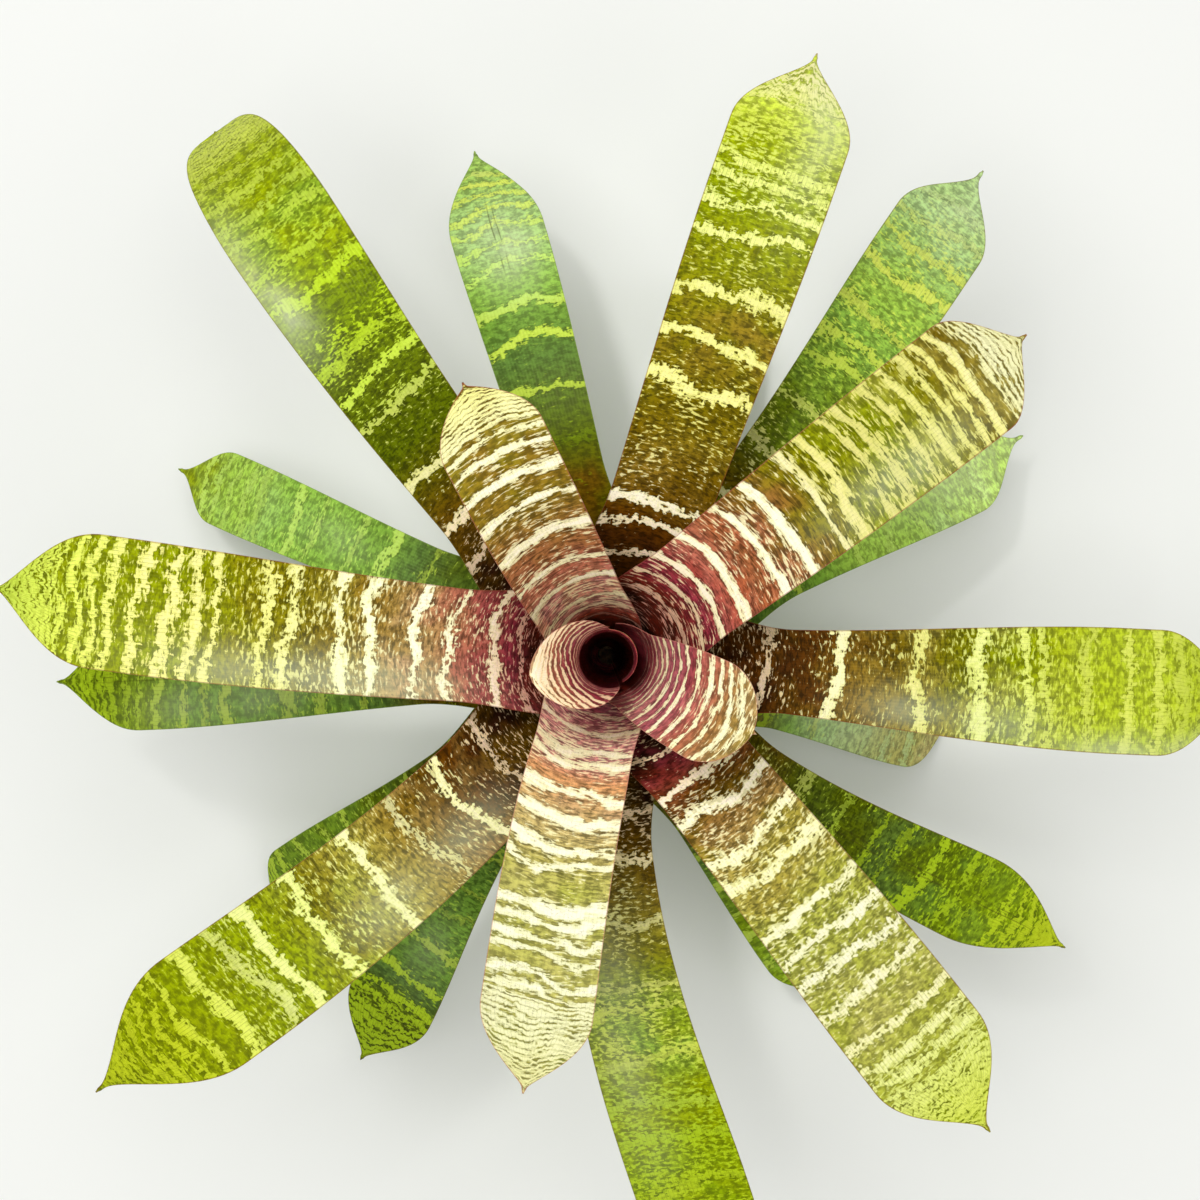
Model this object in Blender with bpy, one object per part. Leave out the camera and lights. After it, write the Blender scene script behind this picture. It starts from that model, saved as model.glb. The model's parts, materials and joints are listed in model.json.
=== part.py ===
# Tank bromeliad rosette, cut at the stem: banded strap leaves in a spiral round a water cup.
# Metres, +Z up. The origin is the middle of the stem's flat cut face.

import math
from collections import namedtuple

import bmesh
import bpy
from mathutils import Vector

# Stem
STEM_FOOT_RADIUS = 0.0165
STEM_SHOULDER_RADIUS = 0.0215
STEM_SHOULDER_HEIGHT = 0.012
STEM_TOP_HEIGHT = 0.064
STEM_SIDES = 28
STEM_GAP = 0.0012  # from the stem to the middle of each leaf base
STEM_FOOT_BEVEL = 0.001

# Where the leaf bases sit: each older leaf is lower and further out on the stem
FIRST_BASE_RADIUS = 0.0042
FIRST_BASE_HEIGHT = 0.061
BASE_RADIUS_STEP = 0.0009
BASE_HEIGHT_STEP = 0.0019
BASE_RISE = 40.0  # degrees, the way a leaf leaves the stem
BELLY_SHARE = 0.17  # how far it goes that way, as a share of the sheath
BELLY_SHARE_STEP = 0.006

# The waist, where the clasping sheath turns into the blade
FIRST_WAIST_RADIUS = 0.0112
FIRST_WAIST_HEIGHT = 0.128
WAIST_RADIUS_STEP = 0.00138
WAIST_HEIGHT_STEP = 0.0031
FIRST_WAIST_RISE = 79.0  # degrees, the way the leaf is going there
WAIST_RISE_STEP = 1.0

# How far each arch keeps the direction it has at its ends, as shares of its span
SHEATH_HOLD = 0.50
BLADE_HOLD = 0.34
TIP_HOLD = 0.42
ARCH_STEPS = 40  # points along a sheath; a blade has three times as many

# Leaf sections
SHEATH_WIDENING = 1.28  # a sheath's width as a share of its blade's
BASE_WIDTH_SHARE = 0.35  # a leaf's foot as a share of its sheath's width
MOST_WRAP = 1.8  # radians each way round the plant's axis
WRAP_END_RADIUS = 0.030  # inside this radius a leaf curves round the axis
CHANNEL_START_RADIUS = 0.078  # outside this one it is a shallow open channel
CHANNEL_RADIUS = 0.095  # the channel's own radius
BASE_THICKNESS = 0.0009
BLADE_THICKNESS = 0.0010
TIP_THICKNESS = 0.0008
SEGMENTS_ACROSS = 8
SHEATH_STATIONS = 5
BLADE_STATIONS = 8
TIP_STATIONS = 4
TIP_END = 0.0012  # the point stops this far short, where it is closed

Leaf = namedtuple(
    "Leaf",
    "name azimuth sweep reach tip_height tip_rise width neck tip_length tip_bluntness colour",
)

# One plain colour for each kind of leaf
CREAM = (0.78, 0.62, 0.42, 1.0)
ROSE = (0.42, 0.20, 0.14, 1.0)
OLIVE = (0.36, 0.36, 0.06, 1.0)
LIME = (0.30, 0.42, 0.05, 1.0)
GREEN = (0.10, 0.24, 0.07, 1.0)
STEM_BROWN = (0.17, 0.10, 0.05, 1.0)

# Youngest first. Angles in degrees (anticlockwise from +X), lengths in metres.
# sweep is how far the tip's azimuth has turned from the base's, and neck is the width
# where the blade leaves the sheath as a share of its full width.
LEAVES = (
    Leaf("heart_leaf_1", 45, 0, 0.0132, 0.168, 80, 0.050, 0.90, 0.012, 0.5, ROSE),
    Leaf("heart_leaf_2", 190, 0, 0.0345, 0.218, 32, 0.050, 0.90, 0.026, 0.7, CREAM),
    Leaf("heart_leaf_3", 334, 0, 0.0690, 0.238, 34, 0.046, 0.90, 0.022, 0.6, CREAM),
    Leaf("inner_leaf_1", 117.5, -1.5, 0.1300, 0.262, 26, 0.046, 0.96, 0.027, 0.9, ROSE),
    Leaf("inner_leaf_2", 258.7, 5, 0.1800, 0.262, 16, 0.048, 0.95, 0.032, 1.2, CREAM),
    Leaf("inner_leaf_3", 38.2, 0, 0.2190, 0.258, 10, 0.054, 0.90, 0.026, 1.4, ROSE),
    Leaf("middle_leaf_1", 173.2, -1.6, 0.2650, 0.216, -8, 0.058, 0.86, 0.044, 1.3, OLIVE),
    Leaf("middle_leaf_2", 309, -1.4, 0.2610, 0.205, -11, 0.057, 0.84, 0.044, 1.45, OLIVE),
    Leaf("middle_leaf_3", 71, -0.6, 0.2790, 0.192, -14, 0.054, 0.84, 0.038, 1.5, OLIVE),
    Leaf("middle_leaf_4", 220.2, -6.5, 0.2950, 0.178, -17, 0.059, 0.84, 0.062, 1.5, OLIVE),
    Leaf("middle_leaf_5", 356.6, 1.0, 0.2820, 0.168, -18, 0.056, 0.66, 0.040, 1.4, OLIVE),
    Leaf("middle_leaf_6", 126.8, -4.0, 0.3000, 0.128, -62, 0.053, 0.76, 0.085, 0.28, LIME),
    Leaf("middle_leaf_7", 280, 13, 0.2880, 0.150, -22, 0.051, 0.78, 0.040, 1.5, LIME),
    Leaf("outer_leaf_1", 52.3, 5, 0.2830, 0.118, -24, 0.047, 0.74, 0.040, 1.8, LIME),
    Leaf("outer_leaf_2", 182.7, 0, 0.2580, 0.098, -26, 0.048, 0.72, 0.044, 1.4, GREEN),
    Leaf("outer_leaf_3", 327.4, 9, 0.2575, 0.080, -28, 0.044, 0.72, 0.060, 1.25, LIME),
    Leaf("outer_leaf_4", 104.8, 2.6, 0.2490, 0.068, -30, 0.045, 0.80, 0.048, 1.25, GREEN),
    Leaf("outer_leaf_5", 238.7, 8, 0.2320, 0.040, -36, 0.044, 0.74, 0.042, 1.35, LIME),
    Leaf("outer_leaf_6", 27.6, -1.5, 0.2310, 0.028, -38, 0.047, 0.74, 0.046, 2.0, GREEN),
    Leaf("outer_leaf_7", 156.8, 0, 0.2310, 0.020, -40, 0.037, 0.80, 0.034, 1.7, GREEN),
    Leaf("outer_leaf_8", 304, 3, 0.2060, 0.012, -42, 0.042, 0.76, 0.044, 1.3, GREEN),
    Leaf("outer_leaf_9", 72, 0, 0.1900, 0.007, -44, 0.043, 0.76, 0.030, 1.5, GREEN),
    Leaf("outer_leaf_10", 217, -4.0, 0.2120, 0.003, -44, 0.043, 0.76, 0.030, 1.3, GREEN),
    Leaf("outer_leaf_11", 346.8, 0, 0.1740, 0.002, -50, 0.043, 0.76, 0.028, 0.9, GREEN),
)


def smooth(x, start, end):
    """0 before start, 1 after end, and an easy curve between."""
    t = min(max((x - start) / (end - start), 0.0), 1.0)
    return t * t * (3.0 - 2.0 * t)


def direction(degrees):
    angle = math.radians(degrees)
    return Vector((math.cos(angle), math.sin(angle)))


def bezier(a, b, c, d, t):
    u = 1.0 - t
    return a * u ** 3 + b * 3 * u * u * t + c * 3 * u * t * t + d * t ** 3


def profile(rank, leaf):
    """The leaf's middle line as (radius, height) points: a sheath, then a blade, each one arch."""
    base = Vector(
        (
            FIRST_BASE_RADIUS + BASE_RADIUS_STEP * rank,
            FIRST_BASE_HEIGHT - BASE_HEIGHT_STEP * rank,
        )
    )
    waist = Vector(
        (
            FIRST_WAIST_RADIUS + WAIST_RADIUS_STEP * rank,
            FIRST_WAIST_HEIGHT - WAIST_HEIGHT_STEP * rank,
        )
    )
    tip = Vector((leaf.reach, leaf.tip_height))
    waist_way = direction(FIRST_WAIST_RISE - WAIST_RISE_STEP * rank)
    sheath_span = (waist - base).length
    belly = BELLY_SHARE + BELLY_SHARE_STEP * rank
    blade_span = (tip - waist).length
    points = []
    for step in range(ARCH_STEPS):
        points.append(
            bezier(
                base,
                base + direction(BASE_RISE) * sheath_span * belly,
                waist - waist_way * sheath_span * SHEATH_HOLD,
                waist,
                step / ARCH_STEPS,
            )
        )
    for step in range(3 * ARCH_STEPS + 1):
        points.append(
            bezier(
                waist,
                waist + waist_way * blade_span * BLADE_HOLD,
                tip - direction(leaf.tip_rise) * blade_span * TIP_HOLD,
                tip,
                step / (3 * ARCH_STEPS),
            )
        )
    return points


class MiddleLine:
    """The profile measured along its length."""

    def __init__(self, points):
        self.points = points
        self.lengths = [0.0]
        for before, after in zip(points, points[1:]):
            self.lengths.append(self.lengths[-1] + (after - before).length)
        self.total = self.lengths[-1]

    def at(self, length):
        """(radius, height) and the tangent there."""
        length = min(max(length, 0.0), self.total)
        index = 0
        while index < len(self.points) - 2 and self.lengths[index + 1] < length:
            index += 1
        before = self.points[index]
        after = self.points[index + 1]
        share = (length - self.lengths[index]) / (after - before).length
        return before.lerp(after, share), (after - before).normalized()


def half_width(leaf, length, total, waist_length, radius):
    """Half the leaf's width along its curved section."""
    full = leaf.width / 2
    sheath = full * SHEATH_WIDENING
    neck = full * leaf.neck
    blade_length = total - waist_length
    if length < waist_length:
        grown = smooth(length, -0.25 * waist_length, 0.8 * waist_length)
        wide = sheath * (BASE_WIDTH_SHARE + (1.0 - BASE_WIDTH_SHARE) * grown)
    else:
        along = (length - waist_length) / blade_length
        wide = sheath + (neck - sheath) * smooth(along, 0.0, 0.30)
        wide += (full - neck) * smooth(along, 0.22, 0.80)
    left = (total - length) / leaf.tip_length
    if left < 1.0:
        wide *= (1.0 - (1.0 - left) ** 2) ** leaf.tip_bluntness
    return min(wide, MOST_WRAP * radius)


def stations(leaf, waist_length, total):
    """Where the leaf's sections are, as lengths from its base."""
    tip_start = total - leaf.tip_length
    marks = [waist_length * step / SHEATH_STATIONS for step in range(SHEATH_STATIONS)]
    blade = tip_start - waist_length
    if blade > 0.02:
        marks += [
            waist_length + blade * step / BLADE_STATIONS for step in range(BLADE_STATIONS)
        ]
    else:
        marks += [waist_length]
    for step in range(TIP_STATIONS + 1):
        share = step / TIP_STATIONS
        marks.append(tip_start + (leaf.tip_length - TIP_END) * math.sin(share * math.pi / 2))
    return [mark for mark in marks if mark <= total]


def section(leaf, line, waist_length, length):
    """The closed loop of points round the leaf at this length: upper face, then lower face."""
    (radius, height), tangent = line.at(length)
    wide = half_width(leaf, length, line.total, waist_length, radius)
    turn = leaf.azimuth - leaf.sweep * (1.0 - smooth(radius, 0.0, leaf.reach))
    turned = math.radians(turn)
    rise = math.atan2(tangent.y, tangent.x)
    outward = Vector((math.cos(turned), math.sin(turned), 0.0))
    sideways = Vector((-math.sin(turned), math.cos(turned), 0.0))
    upper = outward * -math.sin(rise) + Vector((0.0, 0.0, math.cos(rise)))
    middle = outward * radius + Vector((0.0, 0.0, height))
    opened = smooth(radius, WRAP_END_RADIUS, CHANNEL_START_RADIUS)
    steepness = max(math.sin(rise), 0.05)
    channel = min(max(radius, 0.004) / steepness, CHANNEL_RADIUS)
    along = length / line.total
    thick = BASE_THICKNESS + (BLADE_THICKNESS - BASE_THICKNESS) * smooth(along, 0.0, 0.4)
    thick += (TIP_THICKNESS - BLADE_THICKNESS) * smooth(along, 0.6, 1.0)
    faces = ([], [])
    for step in range(SEGMENTS_ACROSS + 1):
        across = 2.0 * step / SEGMENTS_ACROSS - 1.0
        offset = wide * across
        round_angle = turned + offset / radius
        ring = Vector((math.cos(round_angle), math.sin(round_angle), 0.0))
        wrapped = ring * radius + Vector((0.0, 0.0, height))
        wrapped_normal = ring * -math.sin(rise) + Vector((0.0, 0.0, math.cos(rise)))
        lean = offset / channel
        open_point = middle + sideways * channel * math.sin(lean)
        open_point += upper * channel * (1.0 - math.cos(lean))
        open_normal = upper * math.cos(lean) - sideways * math.sin(lean)
        place = wrapped.lerp(open_point, opened)
        normal = wrapped_normal.lerp(open_normal, opened).normalized()
        half_thick = 0.5 * thick * math.sqrt(max(1.0 - across * across, 0.0)) ** 0.7
        faces[0].append(place + normal * half_thick)
        faces[1].append(place - normal * half_thick)
    return faces[0] + faces[1][-2:0:-1]


def plain_material(name, colour, roughness):
    material = bpy.data.materials.new(name)
    material.use_nodes = True
    shader = material.node_tree.nodes["Principled BSDF"]
    shader.inputs["Base Color"].default_value = colour
    shader.inputs["Roughness"].default_value = roughness
    shader.inputs["Metallic"].default_value = 0.0
    return material


def add_object(name, mesh_data, material):
    mesh_data.materials.append(material)
    mesh_data.shade_smooth()
    made = bpy.data.objects.new(name, mesh_data)
    bpy.context.scene.collection.objects.link(made)
    return made


def make_leaf(rank, leaf):
    line = MiddleLine(profile(rank, leaf))
    waist_length = line.lengths[ARCH_STEPS]
    mesh = bmesh.new()
    rings = []
    for length in stations(leaf, waist_length, line.total):
        loop = section(leaf, line, waist_length, length)
        rings.append([mesh.verts.new(point) for point in loop])
    for inner, outer in zip(rings, rings[1:]):
        count = len(inner)
        for index in range(count):
            after = (index + 1) % count
            mesh.faces.new((inner[index], outer[index], outer[after], inner[after]))
    mesh.faces.new(rings[0])
    mesh.faces.new(reversed(rings[-1]))
    mesh_data = bpy.data.meshes.new(leaf.name)
    mesh.to_mesh(mesh_data)
    mesh.free()
    return add_object(leaf.name, mesh_data, plain_material(leaf.name, leaf.colour, 0.35))


def make_stem():
    """A turned stump: flat foot, a shoulder, then a cone up between the leaf bases."""
    last = len(LEAVES) - 1
    lowest_base = Vector(
        (
            FIRST_BASE_RADIUS + BASE_RADIUS_STEP * last - STEM_GAP,
            FIRST_BASE_HEIGHT - BASE_HEIGHT_STEP * last,
        )
    )
    outline = (
        Vector((0.0, 0.0)),
        Vector((STEM_FOOT_RADIUS - STEM_FOOT_BEVEL, 0.0)),
        Vector((STEM_FOOT_RADIUS, STEM_FOOT_BEVEL)),
        Vector((STEM_SHOULDER_RADIUS, STEM_SHOULDER_HEIGHT)),
        lowest_base,
        Vector((FIRST_BASE_RADIUS - STEM_GAP, FIRST_BASE_HEIGHT)),
        Vector((0.0, STEM_TOP_HEIGHT)),
    )
    mesh = bmesh.new()
    corners = [mesh.verts.new((point.x, 0.0, point.y)) for point in outline]
    edges = [mesh.edges.new(pair) for pair in zip(corners, corners[1:])]
    bmesh.ops.spin(
        mesh,
        geom=corners + edges,
        cent=(0.0, 0.0, 0.0),
        axis=(0.0, 0.0, 1.0),
        angle=2.0 * math.pi,
        steps=STEM_SIDES,
        use_merge=True,
    )
    bmesh.ops.remove_doubles(mesh, verts=mesh.verts, dist=0.00001)
    bmesh.ops.recalc_face_normals(mesh, faces=mesh.faces)
    mesh_data = bpy.data.meshes.new("stem")
    mesh.to_mesh(mesh_data)
    mesh.free()
    return add_object("stem", mesh_data, plain_material("stem", STEM_BROWN, 0.85))


def main():
    for old in list(bpy.data.objects):
        bpy.data.objects.remove(old, do_unlink=True)
    make_stem()
    for rank, leaf in enumerate(LEAVES):
        make_leaf(rank, leaf)


main()
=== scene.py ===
# Banded bromeliad rosette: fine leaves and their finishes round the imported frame.
# Metres, +Z up. The origin is the middle of the stem's cut face.

import json
import math

import bpy
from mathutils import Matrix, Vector, noise


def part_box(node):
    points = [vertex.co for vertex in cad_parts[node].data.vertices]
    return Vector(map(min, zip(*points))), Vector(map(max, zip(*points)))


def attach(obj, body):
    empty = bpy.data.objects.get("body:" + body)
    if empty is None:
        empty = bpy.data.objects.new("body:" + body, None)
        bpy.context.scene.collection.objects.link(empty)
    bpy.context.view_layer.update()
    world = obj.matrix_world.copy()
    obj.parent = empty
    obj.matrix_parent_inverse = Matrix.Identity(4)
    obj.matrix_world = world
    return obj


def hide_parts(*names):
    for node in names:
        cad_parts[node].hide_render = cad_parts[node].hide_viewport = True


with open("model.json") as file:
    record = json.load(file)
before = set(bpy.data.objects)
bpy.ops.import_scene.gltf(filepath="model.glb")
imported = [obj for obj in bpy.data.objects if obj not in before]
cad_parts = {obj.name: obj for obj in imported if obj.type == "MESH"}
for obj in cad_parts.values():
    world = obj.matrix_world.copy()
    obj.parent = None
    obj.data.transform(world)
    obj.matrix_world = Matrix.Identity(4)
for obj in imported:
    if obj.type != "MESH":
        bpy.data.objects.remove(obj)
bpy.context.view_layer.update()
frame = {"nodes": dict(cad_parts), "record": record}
print("frame loaded with", len(frame["nodes"]), "nodes")

# tones, as red, green and blue from 0 to 255

tones = {
    # painted shade: this near-black tone is given to the leaves' bases deep in the funnel, where shade
    # falls
    "night": (46, 18, 10),
    "maroon": (112, 34, 22),
    "wine": (142, 48, 62),
    "mauve": (172, 90, 100),
    "rose": (204, 134, 126),
    "rosewood": (180, 102, 82),
    "brick": (166, 62, 40),
    "russet": (178, 94, 50),
    "terracotta": (208, 150, 98),
    "chestnut": (156, 100, 58),
    "cocoa": (136, 86, 40),
    "umberRed": (90, 50, 2),
    "umber": (98, 70, 4),
    "tan": (162, 130, 76),
    "bronze": (132, 104, 28),
    "oliveBrown": (104, 84, 0),
    "darkOlive": (110, 98, 0),
    "olive": (124, 118, 4),
    "oliveLime": (130, 140, 0),
    "moss": (78, 90, 0),
    "fern": (98, 118, 0),
    "greenLime": (122, 146, 2),
    "lime": (140, 155, 0),
    "freshLime": (164, 178, 2),
    "brightLime": (174, 190, 40),
    "leafGreen": (104, 142, 44),
    "pond": (82, 112, 46),
    "grass": (132, 172, 64),
    "meadow": (150, 184, 68),
    "sage": (156, 190, 108),
    "mist": (178, 206, 138),
    "taupe": (190, 156, 112),
    "sand": (190, 166, 106),
    "khaki": (178, 172, 92),
    "khakiBrown": (156, 142, 54),
    "khakiGreen": (162, 165, 60),
    "blush": (246, 180, 172),
    "shell": (250, 220, 192),
    "cream": (250, 240, 208),
    "milk": (242, 238, 206),
    "butter": (240, 234, 180),
    "corn": (236, 228, 144),
    "straw": (224, 220, 132),
    "primrose": (230, 236, 142),
    "lemon": (222, 231, 100),
    "limeLight": (208, 220, 42),
    "lemonGreen": (198, 213, 70),
    "softLime": (192, 214, 78),
    "springLime": (180, 208, 34),
    "greenLight": (196, 228, 108),
    "pearl": (208, 230, 160),
}


def linear(level):
    share = level / 255
    return share / 12.92 if share <= 0.04045 else ((share + 0.055) / 1.055) ** 2.4


def toneColour(name):
    return tuple(linear(level) for level in tones[name])


def stopsAround(stops, share):
    # the values of the stops before and after this share, and how far between them it is
    for before, after in zip(stops, stops[1:]):
        if share < after[0]:
            return before[1], after[1], max(share - before[0], 0.0) / (after[0] - before[0])
    return stops[-1][1], stops[-1][1], 0.0


def toneAlong(stops, share):
    first, second, blend = stopsAround(stops, share)
    return [a + (b - a) * blend
            for a, b in zip(toneColour(first), toneColour(second))] + [1.0]


# how the leaves grow from the stem, in metres and degrees: each Step is added once for
# every older leaf

growth = {
    "firstBaseRadius": 0.0042,
    "firstBaseHeight": 0.061,
    "baseRadiusStep": 0.0009,
    "baseHeightStep": 0.0019,
    "baseRise": 40.0,
    "bellyShare": 0.17,
    "bellyShareStep": 0.006,
    "firstWaistRadius": 0.0112,
    "firstWaistHeight": 0.128,
    "waistRadiusStep": 0.00138,
    "waistHeightStep": 0.0031,
    "firstWaistRise": 79.0,
    "waistRiseStep": 1.0,
    "sheathHold": 0.50,
    "bladeHold": 0.34,
    "tipHold": 0.42,
    "archSteps": 60,
    "sheathWidening": 1.28,
    "baseWidthShare": 0.35,
    "sheathGrowth": (-0.25, 0.8),
    "neckEnd": 0.30,
    "bladeWidening": (0.22, 0.80),
    "mostWrap": 1.8,
    "wrapEndRadius": 0.030,
    "channelStartRadius": 0.078,
    "channelRadius": 0.095,
    "bladeThickness": 0.0010,
    "thinnestShare": 0.30,
    "tipEnd": 0.00003,
    "sheathStations": 18,
    "bladeStations": 96,
    "tipStations": 30,
    "columns": 34,
    "waveHeight": 0.0011,
    "rippleHeight": 0.0007,
    "waveStart": 0.07,
    "waveFull": 0.16,
    "beakLength": 0.0020,
    "beakHalf": 0.0009,
    "bandReach": 0.060,
    "closeBandHalf": 0.31,
    "tipCurve": 0.005,
    "tipCurveStart": (0.82, 0.97),
    "veinCutStart": (0.60, 0.86),
    "evenShare": 0.6,
    "seedStep": 1.7,
    "flatMiddle": 0.4,
    "waveFineness": (16, 1.3),
    "rippleFineness": (55, 1.1),
    "leastRadius": 0.004,
    "leastSlope": 0.05,
    "leastLevel": 0.4,
    "bulgeFade": (0.5, 0.10, 0.22),
    "mapShift": (0.61, 0.37),
    "marginThinning": 0.35,
    "tipThinning": (0.2, 0.6, 1.0),
    "smoothAngle": 50,
}


def smooth(value, start, end):
    share = min(max((value - start) / (end - start), 0.0), 1.0)
    return share * share * (3.0 - 2.0 * share)


def faded(value, lost, start, end):
    return 1.0 - lost * smooth(value, start, end)


def direction(degrees):
    angle = math.radians(degrees)
    return Vector((math.cos(angle), math.sin(angle)))


def arch(a, b, c, d, steps):
    points = []
    for step in range(steps):
        t = step / steps
        u = 1.0 - t
        points.append(a * u ** 3 + b * 3 * u * u * t + c * 3 * u * t * t + d * t ** 3)
    return points


def middleLine(rank, leaf):
    # (radius, height) points of a leaf's middle, their lengths, and the waist's length
    g = growth
    base = Vector((g["firstBaseRadius"] + g["baseRadiusStep"] * rank,
                   g["firstBaseHeight"] - g["baseHeightStep"] * rank))
    waist = Vector((g["firstWaistRadius"] + g["waistRadiusStep"] * rank,
                    g["firstWaistHeight"] - g["waistHeightStep"] * rank))
    tip = Vector((leaf["reach"], leaf["tipHeight"]))
    waistWay = direction(g["firstWaistRise"] - g["waistRiseStep"] * rank)
    sheathSpan = (waist - base).length
    bladeSpan = (tip - waist).length
    belly = sheathSpan * (g["bellyShare"] + g["bellyShareStep"] * rank)
    points = arch(base, base + direction(g["baseRise"]) * belly,
                  waist - waistWay * sheathSpan * g["sheathHold"], waist, g["archSteps"])
    points += arch(waist, waist + waistWay * bladeSpan * g["bladeHold"],
                   tip - direction(leaf["tipRise"]) * bladeSpan * g["tipHold"], tip,
                   3 * g["archSteps"])
    points.append(tip)
    lengths = [0.0]
    for before, after in zip(points, points[1:]):
        lengths.append(lengths[-1] + (after - before).length)
    return points, lengths, lengths[g["archSteps"]]


def pointAlong(points, lengths, length):
    index = 0
    while index < len(points) - 2 and lengths[index + 1] < length:
        index += 1
    step = points[index + 1] - points[index]
    share = (length - lengths[index]) / step.length
    return points[index] + step * share, math.atan2(step.y, step.x)


def halfWidth(leaf, length, total, waistLength, radius):
    full = leaf["width"] / 2
    sheath = full * growth["sheathWidening"]
    neck = full * leaf["neck"]
    foot = growth["baseWidthShare"]
    if length < waistLength:
        grown = smooth(length / waistLength, *growth["sheathGrowth"])
        wide = sheath * (foot + (1.0 - foot) * grown)
    else:
        along = (length - waistLength) / (total - waistLength)
        wide = sheath + (neck - sheath) * smooth(along, 0.0, growth["neckEnd"])
        wide += (full - neck) * smooth(along, *growth["bladeWidening"])
    beakScale = leaf.get("beak", 1.0)
    beakLength = growth["beakLength"] * beakScale
    left = (total - beakLength - length) / leaf["tipLength"]
    if left < 1.0:
        wide *= (1.0 - (1.0 - max(left, 0.0)) ** 2) ** leaf["tipBluntness"]
    # the small beak that ends every leaf
    beak = min((total - length) / beakLength, 1.0)
    wide = math.hypot(wide, growth["beakHalf"] * beakScale * beak)
    return min(wide, growth["mostWrap"] * radius)


def stationLengths(leaf, total, waistLength):
    # close together towards the tip, whose outline turns fastest
    tipStart = total - leaf["tipLength"]
    marks = [waistLength * step / growth["sheathStations"]
             for step in range(growth["sheathStations"])]
    marks += [waistLength + (tipStart - waistLength) * step / growth["bladeStations"]
              for step in range(growth["bladeStations"])]
    marks += [tipStart + (leaf["tipLength"] - growth["tipEnd"])
              * math.sin(step / growth["tipStations"] * math.pi / 2)
              for step in range(growth["tipStations"] + 1)]
    return marks


# the leaves, youngest first
# shape holds, in degrees and metres, what shapeWords names. The texts give places along the
# leaf in hundredths of its length, each with its value: dark, patch and pale the tones of
# the ground, of its clouded patches and of the cross bands; bands the width of each pale
# band in mm and, if it is faint, its force in hundredths; flecks and creases the amount of
# pale flecks and of the painted shade in the creases, in hundredths. closeBands is the share
# of the length from which fine bands fill the tip and their spacing in mm, the sheen patches
# are pale patches of painted sheen, standing in for the lamps' reflection, and beak the
# size of the beak against other leaves' beaks.

shapeWords = ("azimuth", "sweep", "reach", "tipHeight", "tipRise", "width", "neck",
              "tipLength", "tipBluntness")

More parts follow.
